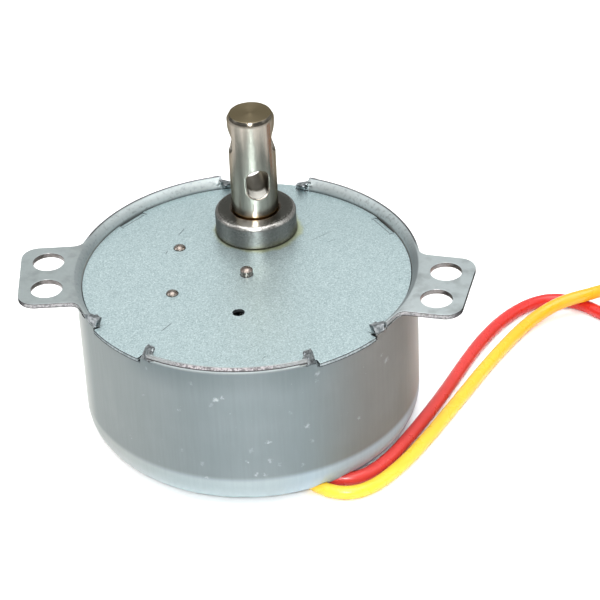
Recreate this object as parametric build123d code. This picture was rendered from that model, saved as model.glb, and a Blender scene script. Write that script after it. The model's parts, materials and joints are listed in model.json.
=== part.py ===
from build123d import *
import math
import os

# Small synchronous gear motor, in millimetres, with +Z up along the output shaft.
# The origin is the centre of the can's base. The ears lie along X and the shaft stands towards +Y.
# A claw-pole motor fills the lower half of the can, and three gear stages the upper half.

# Shared clearances
overrun = 1.0  # every cut runs this far past the face that it opens
running_gap = 0.05  # radial play of what turns on a pin
press_gap = 0.02  # radial gap of what is pressed or riveted together
end_play = 0.05  # axial play of what turns

# Can, drawn from sheet, its flange trimmed to a lip and two ears
can_radius = 25.0
can_height = 25.7
can_sheet = 0.8
can_corner_radius = 4.5
flange_bend_radius = 1.0
lip_reach = 0.5  # past the can's side
ear_angle = 8.0  # degrees by which each ear leans from the X axis, towards -Y
ear_length = 7.6  # past the lip
ear_width = 14.8
ear_corner_radius = 2.6
ear_root_radius = 1.6
ear_hole_radius = 2.3
ear_hole_edge = 4.1  # from the ear's end to its holes' centres
ear_hole_pitch = 7.0

# Rim gaps, where the cover's tabs lie, and the rim ends bent in over the cover
rim_gap_angles = (90.0, 228.0, 312.0)
rim_gap_half_angle = 12.2
tongue_angle = 3.4
tongue_root_angle = 1.2  # the part of a tongue inside the rim
tongue_shift_low = 0.2
tongue_shifts_high = ((1.0, 1.0), (0.7, 1.4), (1.4, 0.7))  # at the two ends of each gap
tongue_drop = 0.45  # its top lies this far below the top of the ears
tongue_top_flare = 0.35
thumb_width = 1.4  # the rounded end of a tongue
thumb_round = 0.35
thumb_crown = 0.22  # height and inset of its bevelled top
round_mid_share = math.sqrt(0.5)  # the middle of a quarter round, along each of its axes

# Cover plate
cover_depth = 1.7  # below the top of the ears
cover_sheet = 0.7
cover_rim_gap = 0.1
cover_tab_reach = 0.15  # past the can's side
cover_tab_half_angle = 11.3
cover_notch_angles = (36.0, 144.0)
cover_notch_half_width = 2.45
cover_notch_depth = 0.5
cover_notch_step = 0.15  # below the plate's top
cover_slit_depth = 0.15  # the outer part of a notch goes right through
spare_hole_radius = 0.87
spare_hole_offset = -9.8  # along Y

# Gears
first_wheel_can_gap = 2.76  # sets the module: the first wheel fits between the rotor and the can
output_wheel_can_gap = 1.26  # sets the place of the output shaft
pressure_angle = 20.0
wheel_addendum_share = 0.6
pinion_addendum_share = 1.0
dedendum_share = 1.25
tooth_backlash = 0.06
wheel_flank_steps = 2
pinion_flank_steps = 3
rotor_teeth = 10
first_wheel_teeth = 48
first_pinion_teeth = 11
second_wheel_teeth = 49
second_pinion_teeth = 11
output_wheel_teeth = 51
first_pin_bearing = 208.2  # degrees, seen from the rotor's axle

# Pins and axle, peened over the cover
gear_pin_radius = 0.87
gear_pin_stand = 0.5
axle_radius = 0.92
axle_stand = 1.2
peen_height = 0.4
sleeve_wall = 0.58
sleeve_top_gap = 0.2

# Stator
lower_pole_gap = 4.1  # to the start of the can's corner round
pole_sheet = 0.8
claw_count = 6
claw_inner_radius = 11.2
claw_root_width = 4.6
claw_tip_width = 2.4
claw_tip_gap = 1.1
bobbin_gap = 0.15
bobbin_wall = 0.85
bobbin_flange = 0.8
bobbin_foot = 1.0
bobbin_can_gap = 2.6
winding_inset = 1.0
tape_thickness = 0.3

# Gear plate
gear_plate_sheet = 0.8
gear_room = 9.8  # from the gear plate to the cover
rotor_neck_gap = 0.6

# Rotor
magnet_air_gap = 0.4
magnet_bore_radius = 4.6
magnet_top_gap = 0.85  # below the upper pole plate
hub_foot_radius = 6.4
hub_foot = 0.7
hub_cap = 0.3
washer_thickness = 0.3
rotor_washer_radius = 2.2
gear_washer_radius = 2.0
output_washer_radius = 5.0

# Gear stages, one above the other
rotor_pinion_width = 2.2
rotor_pinion_lift = 0.4
first_wheel_lift = 0.5
wheel_width = 1.4
first_pinion_width = 2.9
stage_gap = 1.0
output_wheel_width = 2.0
second_pinion_over = 0.3

# Output bushing and shaft
bushing_radius = 6.08
bushing_stand = 3.7
bushing_chamfer = 0.4
bushing_bore_chamfer = 0.25
bushing_spigot_radius = 4.6
bushing_flange_radius = 5.2
bushing_flange = 0.6
shaft_radius = 3.5
shaft_stand = 20.05  # above the cover
shaft_chamfer_width = 0.42
shaft_chamfer_height = 0.75
shaft_pivot_radius = 1.5
shaft_groove_width = 1.0  # a relief that ends the running wall, at the bushing's mouth
shaft_groove_over = 0.2  # above the bushing
shaft_groove_depth = 0.25
cross_slot_width = 3.1
cross_slot_low_height = 4.7
cross_slot_high_height = 4.2
cross_slot_round = 0.3
cross_slot_low_drop = 10.55  # from the shaft's top to each slot's centre
cross_slot_high_drop = 4.35
cross_slot_bearing = 52.5  # degrees, from the shaft's own X axis
cross_slot_between = 79.5  # from the low slot to the high one
shaft_rest_turn = -123.5  # degrees

# Leads: each route is a list of points from the bush to the coil, lying on what the motor stands on.
# Their X and Y are measured from the place where the leads leave the can.
lead_exit_angle = -58.134  # degrees
lead_exit_inset = 3.217  # from the can's side
lead_radius = 1.0
lead_arc_share = 0.45
lead_hole_gap = 0.15
lead_hole_points = 5
yellow_route = [
    (-1.2, -0.7, 1.0), (0.9, -2.3, 1.0), (3.5, -3.1, 1.0), (6.1, -2.7, 1.0), (8.4, -1.0, 1.0),
    (10.5, 1.7, 1.0), (12.9, 5.7, 1.0), (15.3, 10.7, 1.0), (17.7, 16.1, 1.0), (20.1, 21.7, 1.0),
    (22.6, 27.6, 1.0), (25.2, 33.2, 1.0), (27.9, 38.3, 1.1), (30.9, 42.1, 1.7), (34.5, 44.4, 2.7),
    (38.3, 45.4, 3.4), (41.6, 47.3, 3.3), (44.9, 49.8, 3.0), (48.2, 52.0, 2.9), (51.4, 53.8, 3.2),
    (54.7, 55.1, 3.45), (57.9, 55.7, 3.55), (61.0, 55.7, 3.55),
]
red_route = [
    (1.1, 0.4, 1.0), (3.7, 0.0, 1.0), (6.3, 0.8, 1.0), (8.4, 3.0, 1.0), (10.1, 5.6, 1.0),
    (11.6, 8.6, 1.0), (13.4, 12.6, 1.0), (15.6, 17.8, 1.0), (17.8, 23.7, 1.0), (20.0, 30.1, 1.0),
    (22.3, 35.9, 1.0), (24.9, 40.8, 1.0), (27.9, 44.6, 1.0), (31.3, 47.1, 1.0), (34.8, 47.4, 1.0),
    (37.9, 46.0, 1.0), (40.8, 43.8, 1.0), (43.4, 41.1, 1.0), (45.8, 38.2, 1.0), (48.4, 35.5, 1.0),
    (51.3, 33.3, 1.1), (54.6, 31.8, 1.25), (57.9, 31.3, 1.4), (61.0, 31.3, 1.4),
]
coil_offset = (63.0, 43.5)
coil_radius = 12.2
coil_step = 1.25  # by which each half turn is smaller than the one before
coil_half_turns = 3
coil_inner_radius = 6.0
coil_inner_angle = 60.0
red_layer = 1.4
yellow_layer = 3.55
lead_tip_radius = 0.5
lead_tip_length = 6.0
tie_strip = 0.3
tie_width = 2.6
tie_gap = 0.08
tie_corner_radius = 0.8

# Lead bush, in the can's floor
bush_length = 3.0
bush_width = 3.2
bush_low = 0.1
bush_height = 2.3

# Sizes that follow from the sizes above
can_inner_radius = can_radius - can_sheet
can_flat_radius = can_radius - can_corner_radius
lip_radius = can_radius + lip_reach
ear_reach = lip_radius + ear_length
ear_hole_circle_radius = ear_reach - ear_hole_edge
blank_radius = math.hypot(ear_reach, ear_width / 2) + overrun
bell_centre_radius = can_radius + flange_bend_radius
bell_centre_height = can_height - can_sheet - flange_bend_radius
cover_top = can_height - cover_depth
cover_bottom = cover_top - cover_sheet
cover_radius = can_inner_radius - cover_rim_gap
cover_tab_radius = can_radius + cover_tab_reach
lower_pole_top = can_sheet + pole_sheet
gear_plate_top = cover_bottom - gear_room
upper_pole_top = gear_plate_top - gear_plate_sheet
upper_pole_bottom = upper_pole_top - pole_sheet
inner_plate_radius = can_inner_radius - cover_rim_gap
lower_pole_radius = can_flat_radius - lower_pole_gap
claw_outer_radius = claw_inner_radius + pole_sheet
bobbin_radius = can_inner_radius - bobbin_can_gap
winding_radius = bobbin_radius - winding_inset
bobbin_bore_radius = claw_outer_radius + bobbin_gap
bobbin_core_radius = bobbin_bore_radius + bobbin_wall
bobbin_bottom = lower_pole_top + bobbin_foot
magnet_radius = claw_inner_radius - magnet_air_gap
rotor_bottom = lower_pole_top + washer_thickness + end_play
magnet_bottom = rotor_bottom + hub_foot
magnet_top = upper_pole_bottom - magnet_top_gap
rotor_pinion_bottom = gear_plate_top + rotor_pinion_lift
rotor_pinion_top = rotor_pinion_bottom + rotor_pinion_width
wheel_hub_bottom = gear_plate_top + washer_thickness + end_play
first_wheel_bottom = wheel_hub_bottom + first_wheel_lift
first_wheel_top = first_wheel_bottom + wheel_width
first_pinion_top = first_wheel_top + first_pinion_width
second_wheel_bottom = first_wheel_top + stage_gap
second_wheel_top = second_wheel_bottom + wheel_width
bushing_bottom = cover_bottom - bushing_flange
output_wheel_top = bushing_bottom - washer_thickness - end_play
output_wheel_bottom = output_wheel_top - output_wheel_width
second_pinion_top = output_wheel_top + second_pinion_over
wheel_hub_top = cover_bottom - sleeve_top_gap
bushing_top = cover_top + bushing_stand
shaft_top = cover_top + shaft_stand
cross_slot_low = shaft_top - cross_slot_low_drop
cross_slot_high = shaft_top - cross_slot_high_drop
sleeve_radius = gear_pin_radius + running_gap + sleeve_wall


# The module: the first wheel's reach from the rotor's axle, counted in modules, fills its room in the can
first_wheel_modules = rotor_teeth / 2 + first_wheel_teeth + wheel_addendum_share
gear_module = (can_inner_radius - first_wheel_can_gap) / first_wheel_modules
output_wheel_radius = gear_module * (output_wheel_teeth / 2 + wheel_addendum_share)
output_offset = can_inner_radius - output_wheel_can_gap - output_wheel_radius
rotor_neck_radius = gear_module * (rotor_teeth / 2 + pinion_addendum_share)


# Gear centres: each mesh sets the distance between its two axes
def mesh_distance(teeth_a, teeth_b):
    return gear_module * (teeth_a + teeth_b) / 2


def bearing(start, end):
    return math.degrees(math.atan2(end[1] - start[1], end[0] - start[0]))


def third_corner(start, end, start_side, end_side):
    base = math.dist(start, end)
    along = (start_side**2 - end_side**2 + base**2) / (2 * base)
    across = math.sqrt(start_side**2 - along**2)
    ux, uy = (end[0] - start[0]) / base, (end[1] - start[1]) / base
    return (start[0] + along * ux - across * uy, start[1] + along * uy + across * ux)


def polar(radius, angle):
    return (radius * math.cos(math.radians(angle)), radius * math.sin(math.radians(angle)))


rotor_at = (0.0, 0.0)
output_at = (0.0, output_offset)
first_at = polar(mesh_distance(rotor_teeth, first_wheel_teeth), first_pin_bearing)
second_at = third_corner(
    first_at, output_at,
    mesh_distance(first_pinion_teeth, second_wheel_teeth),
    mesh_distance(second_pinion_teeth, output_wheel_teeth),
)
lead_exit = polar(can_radius - lead_exit_inset, lead_exit_angle)
coil_centre = (lead_exit[0] + coil_offset[0], lead_exit[1] + coil_offset[1])


# Shape helpers
def turned(points, centre=(0.0, 0.0)):
    profile = make_face(Polyline([(r, 0, z) for r, z in points], close=True))
    return Pos(centre[0], centre[1], 0) * revolve(profile, Axis.Z)


def disc(radius, low, high, centre=(0.0, 0.0)):
    return Pos(centre[0], centre[1], low) * extrude(Circle(radius), high - low)


def ring(outer, inner, low, high, centre=(0.0, 0.0)):
    return Pos(centre[0], centre[1], low) * extrude(Circle(outer) - Circle(inner), high - low)


def sector(inner, outer, low, high, centre_angle, half_angle):
    corners = [(inner, 0, low), (outer, 0, low), (outer, 0, high), (inner, 0, high)]
    section = make_face(Polyline(corners, close=True))
    return Rot(0, 0, centre_angle - half_angle) * revolve(section, Axis.Z, revolution_arc=2 * half_angle)


def arc_about(centre, radius, start_angle, end_angle):
    mid_angle = (start_angle + end_angle) / 2
    angles = (start_angle, mid_angle, end_angle)
    return ThreePointArc(*[Vector(*centre) + Vector(*polar(radius, angle)) for angle in angles])


def gear_outline(teeth, addendum_share, flank_steps, tooth_bearing):
    pitch_radius = gear_module * teeth / 2
    base_radius = pitch_radius * math.cos(math.radians(pressure_angle))
    tip_radius = pitch_radius + gear_module * addendum_share
    root_radius = pitch_radius - gear_module * dedendum_share
    involute_start = max(base_radius, root_radius)
    tooth_thickness = math.pi * gear_module / 2 - tooth_backlash

    def involute(radius):
        roll = math.acos(min(1.0, base_radius / radius))
        return math.tan(roll) - roll

    def half_angle(radius):
        pitch_half_angle = tooth_thickness / (2 * pitch_radius)
        return pitch_half_angle + involute(pitch_radius) - involute(max(radius, base_radius))

    flank_step = (tip_radius - involute_start) / flank_steps
    flank = [involute_start + flank_step * i for i in range(flank_steps + 1)]
    if root_radius < base_radius:
        flank.insert(0, root_radius)
    points = []
    for tooth in range(teeth):
        middle = math.radians(tooth_bearing) + 2 * math.pi * tooth / teeth
        rising = [(radius, middle - half_angle(radius)) for radius in flank]
        falling = [(radius, middle + half_angle(radius)) for radius in reversed(flank)]
        points += [(r * math.cos(a), r * math.sin(a)) for r, a in rising + falling]
    return make_face(Polyline(points, close=True))


def wheel_gear(teeth, tooth_bearing, low, high, centre):
    outline = gear_outline(teeth, wheel_addendum_share, wheel_flank_steps, tooth_bearing)
    return Pos(centre[0], centre[1], low) * extrude(outline, high - low)


def pinion_gear(teeth, tooth_bearing, low, high, centre):
    outline = gear_outline(teeth, pinion_addendum_share, pinion_flank_steps, tooth_bearing)
    return Pos(centre[0], centre[1], low) * extrude(outline, high - low)


def gap_bearing(teeth, towards):
    return towards + 180.0 / teeth


def peened_pin(radius, low, top, stand, centre):
    high = top + stand
    side_top = high - peen_height
    dome_radius = (radius**2 + peen_height**2) / (2 * peen_height)
    mid_angle = math.asin(radius / dome_radius) / 2
    middle = (dome_radius * math.sin(mid_angle), 0, high - dome_radius + dome_radius * math.cos(mid_angle))
    profile = make_face(
        Polyline((0, 0, high), (0, 0, low), (radius, 0, low), (radius, 0, side_top))
        + ThreePointArc((radius, 0, side_top), middle, (0, 0, high))
    )
    return Pos(centre[0], centre[1], 0) * revolve(profile, Axis.Z)


# Leads
def placed(route):
    return [(lead_exit[0] + x, lead_exit[1] + y, z) for x, y, z in route]


def lead_radii(route):
    radii = []
    for before, here, after in zip(route, route[1:], route[2:]):
        first_run = Vector(*here) - Vector(*before)
        second_run = Vector(*after) - Vector(*here)
        half_turn = math.radians(first_run.get_angle(second_run)) / 2
        radii.append(lead_arc_share * min(first_run.length, second_run.length) / math.tan(half_turn))
    return radii


def lead_tube(route, radius):
    path = FilletPolyline(*route, radius=lead_radii(route))
    start = Plane(origin=path @ 0, z_dir=path % 0)
    return sweep(start * Circle(radius), path=path), path.length


def coil_arcs(turn_sign):
    # Half turns about two centres, then a tighter bend that brings the bare end inside the coil
    arcs = []
    start_angle = -90.0 * turn_sign
    end = Vector(0, -coil_radius * turn_sign)
    radius = coil_radius
    for _ in range(coil_half_turns):
        centre = end - Vector(*polar(radius, start_angle))
        arcs.append((centre, radius, start_angle, start_angle + 180.0 * turn_sign))
        start_angle += 180.0 * turn_sign
        end = centre + Vector(*polar(radius, start_angle))
        radius -= coil_step
    centre = end - Vector(*polar(coil_inner_radius, start_angle))
    arcs.append((centre, coil_inner_radius, start_angle, start_angle + coil_inner_angle * turn_sign))
    return arcs


def least_gap(path, tube_radius):
    count = int(path.length / tube_radius)
    points = [path @ (i / count) for i in range(count + 1)]
    apart = 4 * int(2 * tube_radius * count / path.length + 1)
    gaps = [(a - b).length for i, a in enumerate(points) for b in points[i + apart:]]
    return min(gaps) - 2 * tube_radius


def lead_coil(turn_sign, layer):
    straight = 2 * lead_radius
    at = Vector(coil_centre[0], coil_centre[1], layer)
    arcs = coil_arcs(turn_sign)
    first = at + Vector(0, -coil_radius * turn_sign)
    edges = [Line(first - Vector(straight, 0), first)]
    for centre, radius, start_angle, end_angle in arcs:
        edges.append(arc_about(at + centre, radius, start_angle, end_angle))
    end, heading = edges[-1] @ 1, edges[-1] % 1
    edges.append(Line(end, end + heading * straight))
    path = Wire(edges)
    start = Plane(origin=first - Vector(straight, 0), z_dir=(1, 0, 0))
    tube = sweep(start * Circle(lead_radius), path=path)
    tip_plane = Plane(origin=end + heading * straight, z_dir=heading)
    tip = extrude(tip_plane * Circle(lead_tip_radius), lead_tip_length)
    return tube, tip, path


# The can
def make_can():
    corner = Vector(can_flat_radius, 0, can_corner_radius)
    bell = Vector(bell_centre_radius, 0, bell_centre_height)
    half = round_mid_share
    inner_corner = can_corner_radius - can_sheet
    bell_inner = flange_bend_radius + can_sheet
    hole = axle_radius + press_gap
    under = can_height - can_sheet
    profile = (
        Line((hole, 0, 0), (can_flat_radius, 0, 0))
        + ThreePointArc(
            (can_flat_radius, 0, 0),
            corner + Vector(can_corner_radius * half, 0, -can_corner_radius * half),
            (can_radius, 0, can_corner_radius),
        )
        + Line((can_radius, 0, can_corner_radius), (can_radius, 0, bell_centre_height))
        + ThreePointArc(
            (can_radius, 0, bell_centre_height),
            bell + Vector(-flange_bend_radius * half, 0, flange_bend_radius * half),
            (bell_centre_radius, 0, under),
        )
        + Polyline(
            (bell_centre_radius, 0, under), (blank_radius, 0, under),
            (blank_radius, 0, can_height), (bell_centre_radius, 0, can_height),
        )
        + ThreePointArc(
            (bell_centre_radius, 0, can_height),
            bell + Vector(-bell_inner * half, 0, bell_inner * half),
            (can_inner_radius, 0, bell_centre_height),
        )
        + Line((can_inner_radius, 0, bell_centre_height), (can_inner_radius, 0, can_corner_radius))
        + ThreePointArc(
            (can_inner_radius, 0, can_corner_radius),
            corner + Vector(inner_corner * half, 0, -inner_corner * half),
            (can_flat_radius, 0, can_sheet),
        )
        + Polyline((can_flat_radius, 0, can_sheet), (hole, 0, can_sheet), (hole, 0, 0))
    )
    drawn = revolve(make_face(profile), Axis.Z)

    # The flange is trimmed to a lip with two ears
    outline = Circle(lip_radius)
    for ear_bearing in (-ear_angle, 180.0 + ear_angle):
        blank = Rectangle(ear_reach, ear_width, align=(Align.MIN, Align.CENTER))
        blank = fillet(blank.vertices().group_by(Axis.X)[-1], ear_corner_radius)
        outline += Rot(0, 0, ear_bearing) * blank
    roots = [v for v in outline.vertices() if abs(math.hypot(v.X, v.Y) - lip_radius) < press_gap]
    outline = fillet(roots, ear_root_radius)
    can = drawn & extrude(outline, can_height + overrun)
    for ear_bearing in (-ear_angle, 180.0 + ear_angle):
        for side in (-1, 1):
            hole_at = Rot(0, 0, ear_bearing) * Pos(ear_hole_circle_radius, side * ear_hole_pitch / 2, 0)
            can -= hole_at * disc(ear_hole_radius, can_height - can_sheet - overrun, can_height + overrun)

    # Three gaps in the rim, each with its two ends bent in over the cover
    cut_inner = can_inner_radius - overrun
    cut_outer = lip_radius + overrun
    cut_top = can_height + overrun
    for angle in rim_gap_angles:
        can -= sector(cut_inner, cut_outer, cover_bottom, cut_top, angle, rim_gap_half_angle)
        can -= sector(cut_inner, cut_outer, cover_top, cut_top, angle, rim_gap_half_angle + tongue_angle)
    for angle, shifts in zip(rim_gap_angles, tongue_shifts_high):
        for side, shift_high in zip((-1, 1), shifts):
            can += rim_tongue(angle, side, shift_high)
    return can


def rim_tongue(gap_angle, side, shift_high):
    free_end = gap_angle + side * rim_gap_half_angle
    root = gap_angle + side * (rim_gap_half_angle + tongue_angle + tongue_root_angle)

    def section(height, shift, flare):
        corners = [
            polar(can_inner_radius + flare, root), polar(can_radius + flare, root),
            polar(can_radius - shift, free_end), polar(can_inner_radius - shift, free_end),
        ]
        return make_face(Polyline([(x, y, height) for x, y in corners], close=True))

    top = can_height - tongue_drop
    low = section(cover_top, tongue_shift_low, 0)
    high = section(top, shift_high, tongue_top_flare)
    return loft([low, high], ruled=True) + rim_thumb(free_end, side, top, shift_high)


def rim_thumb(free_end, side, top, shift_high):
    wall_mid = can_radius - can_sheet / 2
    bearing_in = free_end + side * math.degrees(thumb_width / 2 / wall_mid)

    def section(height, inset):
        rise_share = (height - cover_top) / (top - cover_top)
        shift = tongue_shift_low + (shift_high - tongue_shift_low) * rise_share
        outline = RectangleRounded(can_sheet - 2 * inset, thumb_width - 2 * inset, thumb_round - inset)
        return Rot(0, 0, bearing_in) * Pos(wall_mid - shift, 0, height) * outline

    heights = ((cover_top, 0), (top - thumb_crown, 0), (top, thumb_crown))
    return loft([section(height, inset) for height, inset in heights], ruled=True)


# The cover plate
def make_cover():
    cover = disc(cover_radius, cover_bottom, cover_top)
    for angle in rim_gap_angles:
        cover += sector(
            cover_radius - overrun, cover_tab_radius, cover_bottom, cover_top, angle, cover_tab_half_angle
        )
    for angle in cover_notch_angles:
        at_edge = Rot(0, 0, angle) * Pos(cover_radius, 0, cover_top)
        cover -= at_edge * Box(2 * cover_notch_depth, 2 * cover_notch_half_width, 2 * cover_notch_step)
        cover -= at_edge * Box(2 * cover_slit_depth, 2 * cover_notch_half_width, 2 * cover_sheet + overrun)
    for centre, radius in (
        (rotor_at, axle_radius + press_gap),
        (first_at, gear_pin_radius + press_gap),
        (second_at, gear_pin_radius + press_gap),
        (output_at, bushing_spigot_radius + press_gap),
        ((0.0, spare_hole_offset), spare_hole_radius),
    ):
        cover -= disc(radius, cover_bottom - overrun, cover_top + overrun, centre)
    return cover


def make_bushing():
    bore = shaft_radius + running_gap
    profile = [
        (bore, bushing_bottom), (bushing_flange_radius, bushing_bottom),
        (bushing_flange_radius, cover_bottom), (bushing_spigot_radius, cover_bottom),
        (bushing_spigot_radius, cover_top), (bushing_radius, cover_top),
        (bushing_radius, bushing_top - bushing_chamfer), (bushing_radius - bushing_chamfer, bushing_top),
        (bore + bushing_bore_chamfer, bushing_top), (bore, bushing_top - bushing_bore_chamfer),
    ]
    return turned(profile, output_at)


def slot_mouth(edge):
    middle = edge.position_at(0.5)
    reach = math.hypot(middle.X, middle.Y)
    lowest = cross_slot_low - cross_slot_low_height / 2 - overrun
    highest = cross_slot_high + cross_slot_high_height / 2 + overrun
    on_wall = reach > shaft_radius - press_gap and edge.geom_type != GeomType.CIRCLE
    return on_wall and lowest < middle.Z < highest


def make_output_shaft():
    pivot_bottom = gear_plate_top - gear_plate_sheet
    groove_radius = shaft_radius - shaft_groove_depth
    profile = [
        (0, pivot_bottom), (shaft_pivot_radius, pivot_bottom), (shaft_pivot_radius, output_wheel_bottom),
        (shaft_radius, output_wheel_bottom), (shaft_radius, bushing_top - shaft_groove_width),
        (groove_radius, bushing_top - shaft_groove_width), (groove_radius, bushing_top + shaft_groove_over),
        (shaft_radius, bushing_top + shaft_groove_over), (shaft_radius, shaft_top - shaft_chamfer_height),
        (shaft_radius - shaft_chamfer_width, shaft_top), (0, shaft_top),
    ]
    shaft = turned(profile)
    reach = shaft_radius + overrun
    for height, length, turn in (
        (cross_slot_low, cross_slot_low_height, 0),
        (cross_slot_high, cross_slot_high_height, cross_slot_between),
    ):
        slot = Plane.YZ * Rot(0, 0, 90) * SlotOverall(length, cross_slot_width)
        slot = extrude(slot, reach, both=True)
        shaft -= Pos(0, 0, height) * Rot(0, 0, cross_slot_bearing + turn) * slot
    mouths = [e for e in shaft.edges() if slot_mouth(e)]
    shaft = fillet(mouths, cross_slot_round)
    return Pos(output_at[0], output_at[1], 0) * Rot(0, 0, shaft_rest_turn) * shaft


# The gears, each with a tooth of one in a gap of the other
first_towards_rotor = bearing(first_at, rotor_at)
second_towards_first = bearing(second_at, first_at)
output_towards_second = bearing(output_at, second_at)


def make_rotor_hub():
    bore = axle_radius + running_gap
    cap_top = magnet_top + hub_cap
    neck_bottom = cap_top
    hub = disc(hub_foot_radius, rotor_bottom, magnet_bottom)
    hub += disc(magnet_bore_radius, magnet_bottom, cap_top)
    hub += disc(rotor_neck_radius, neck_bottom, rotor_pinion_bottom)
    hub += pinion_gear(
        rotor_teeth, first_towards_rotor + 180.0, rotor_pinion_bottom, rotor_pinion_top, rotor_at
    )
    return hub - disc(bore, rotor_bottom - overrun, rotor_pinion_top + overrun)


def pin_bore(centre):
    return disc(gear_pin_radius + running_gap, wheel_hub_bottom - overrun, wheel_hub_top + overrun, centre)


def make_first_wheel():
    wheel = disc(sleeve_radius, wheel_hub_bottom, wheel_hub_top, first_at)
    wheel += wheel_gear(
        first_wheel_teeth, gap_bearing(first_wheel_teeth, first_towards_rotor),
        first_wheel_bottom, first_wheel_top, first_at,
    )
    wheel += pinion_gear(
        first_pinion_teeth, second_towards_first + 180.0, first_wheel_top, first_pinion_top, first_at
    )
    return wheel - pin_bore(first_at)


def make_second_wheel():
    wheel = disc(sleeve_radius, wheel_hub_bottom, wheel_hub_top, second_at)
    wheel += wheel_gear(
        second_wheel_teeth, gap_bearing(second_wheel_teeth, second_towards_first),
        second_wheel_bottom, second_wheel_top, second_at,
    )
    wheel += pinion_gear(
        second_pinion_teeth, output_towards_second + 180.0, second_wheel_top, second_pinion_top, second_at
    )
    return wheel - pin_bore(second_at)


def make_output_wheel():
    wheel = wheel_gear(
        output_wheel_teeth, gap_bearing(output_wheel_teeth, output_towards_second),
        output_wheel_bottom, output_wheel_top, output_at,
    )
    bore = shaft_radius + press_gap
    return wheel - disc(bore, output_wheel_bottom - overrun, output_wheel_top + overrun, output_at)


# Claw-pole stator
def claws(root_height, tip_height, first_angle):
    low, high = sorted((root_height, tip_height))
    sleeve = ring(claw_outer_radius, claw_inner_radius, low, high)
    blades = []
    for i in range(claw_count):
        blade = make_face(Polyline(
            (0, -claw_root_width / 2, root_height), (0, claw_root_width / 2, root_height),
            (0, claw_tip_width / 2, tip_height), (0, -claw_tip_width / 2, tip_height), close=True,
        ))
        blade = extrude(blade, claw_outer_radius + overrun, dir=(1, 0, 0))
        blades.append(sleeve & (Rot(0, 0, first_angle + 360.0 * i / claw_count) * blade))
    return blades


def make_lower_pole():
    pole = ring(lower_pole_radius, axle_radius + press_gap, can_sheet, lower_pole_top)
    for claw in claws(lower_pole_top, upper_pole_bottom - claw_tip_gap, 0.0):
        pole += claw
    return pole


def make_upper_pole():
    pole = ring(inner_plate_radius, claw_inner_radius, upper_pole_bottom, upper_pole_top)
    for claw in claws(upper_pole_bottom, lower_pole_top + claw_tip_gap, 180.0 / claw_count):
        pole += claw
    return pole


def make_bobbin():
    flange_low = bobbin_bottom + bobbin_flange
    flange_high = upper_pole_bottom - bobbin_flange
    return turned([
        (bobbin_bore_radius, lower_pole_top), (bobbin_core_radius, lower_pole_top),
        (bobbin_core_radius, bobbin_bottom), (bobbin_radius, bobbin_bottom), (bobbin_radius, flange_low),
        (bobbin_core_radius, flange_low), (bobbin_core_radius, flange_high), (bobbin_radius, flange_high),
        (bobbin_radius, upper_pole_bottom), (bobbin_bore_radius, upper_pole_bottom),
    ])


def make_gear_plate():
    plate = disc(inner_plate_radius, upper_pole_top, gear_plate_top)
    for centre, radius in (
        (rotor_at, rotor_neck_radius + rotor_neck_gap),
        (first_at, gear_pin_radius + press_gap),
        (second_at, gear_pin_radius + press_gap),
        (output_at, shaft_pivot_radius + running_gap),
    ):
        plate -= disc(radius, upper_pole_top - overrun, gear_plate_top + overrun, centre)
    return plate


# Lead bush: one block behind each lead, joined in one moulding that stays within the can's outside
def can_outside():
    bend = can_corner_radius * round_mid_share
    profile = make_face(
        Line((0, 0, 0), (can_flat_radius, 0, 0))
        + ThreePointArc(
            (can_flat_radius, 0, 0),
            (can_flat_radius + bend, 0, can_corner_radius - bend),
            (can_radius, 0, can_corner_radius),
        )
        + Polyline((can_radius, 0, can_corner_radius), (0, 0, can_corner_radius), (0, 0, 0))
    )
    return revolve(profile, Axis.Z)


def lead_clearance(route):
    return lead_tube(route[:lead_hole_points], lead_radius + lead_hole_gap)[0]


def make_bush():
    routes = [placed(yellow_route), placed(red_route)]
    bush = (bush_block(routes[0], 0) + bush_block(routes[1], 0)) & can_outside()
    return bush - lead_clearance(routes[0]) - lead_clearance(routes[1])


def bush_block(route, grow):
    start, towards = Vector(*route[0]), Vector(*route[1])
    heading = (towards - start).normalized()
    frame = Plane(origin=start, x_dir=heading, z_dir=(0, 0, 1))
    block = Box(
        bush_length + grow, bush_width + 2 * grow, bush_height - bush_low,
        align=(Align.MAX, Align.CENTER, Align.MIN),
    )
    return frame * Pos(0, 0, bush_low - start.Z) * block


def make_tie():
    inner_low = red_layer - lead_radius - tie_gap
    inner_high = yellow_layer + lead_radius + tie_gap
    inner_near = coil_radius - 2 * coil_step - lead_radius - tie_gap
    inner_far = coil_radius + lead_radius + tie_gap

    def frame(grow):
        near, far = inner_near - grow, inner_far + grow
        low, high = inner_low - grow, inner_high + grow
        return make_face(Polyline((near, 0, low), (far, 0, low), (far, 0, high), (near, 0, high), close=True))

    band = frame(tie_strip) - frame(0)
    band = extrude(band, tie_width / 2, dir=(0, 1, 0), both=True)
    corners = band.edges().filter_by(Axis.Y).sort_by(Axis.X)
    band = fillet(corners[:2] + corners[-2:], tie_corner_radius)
    return Pos(coil_centre[0], coil_centre[1], 0) * band


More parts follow.
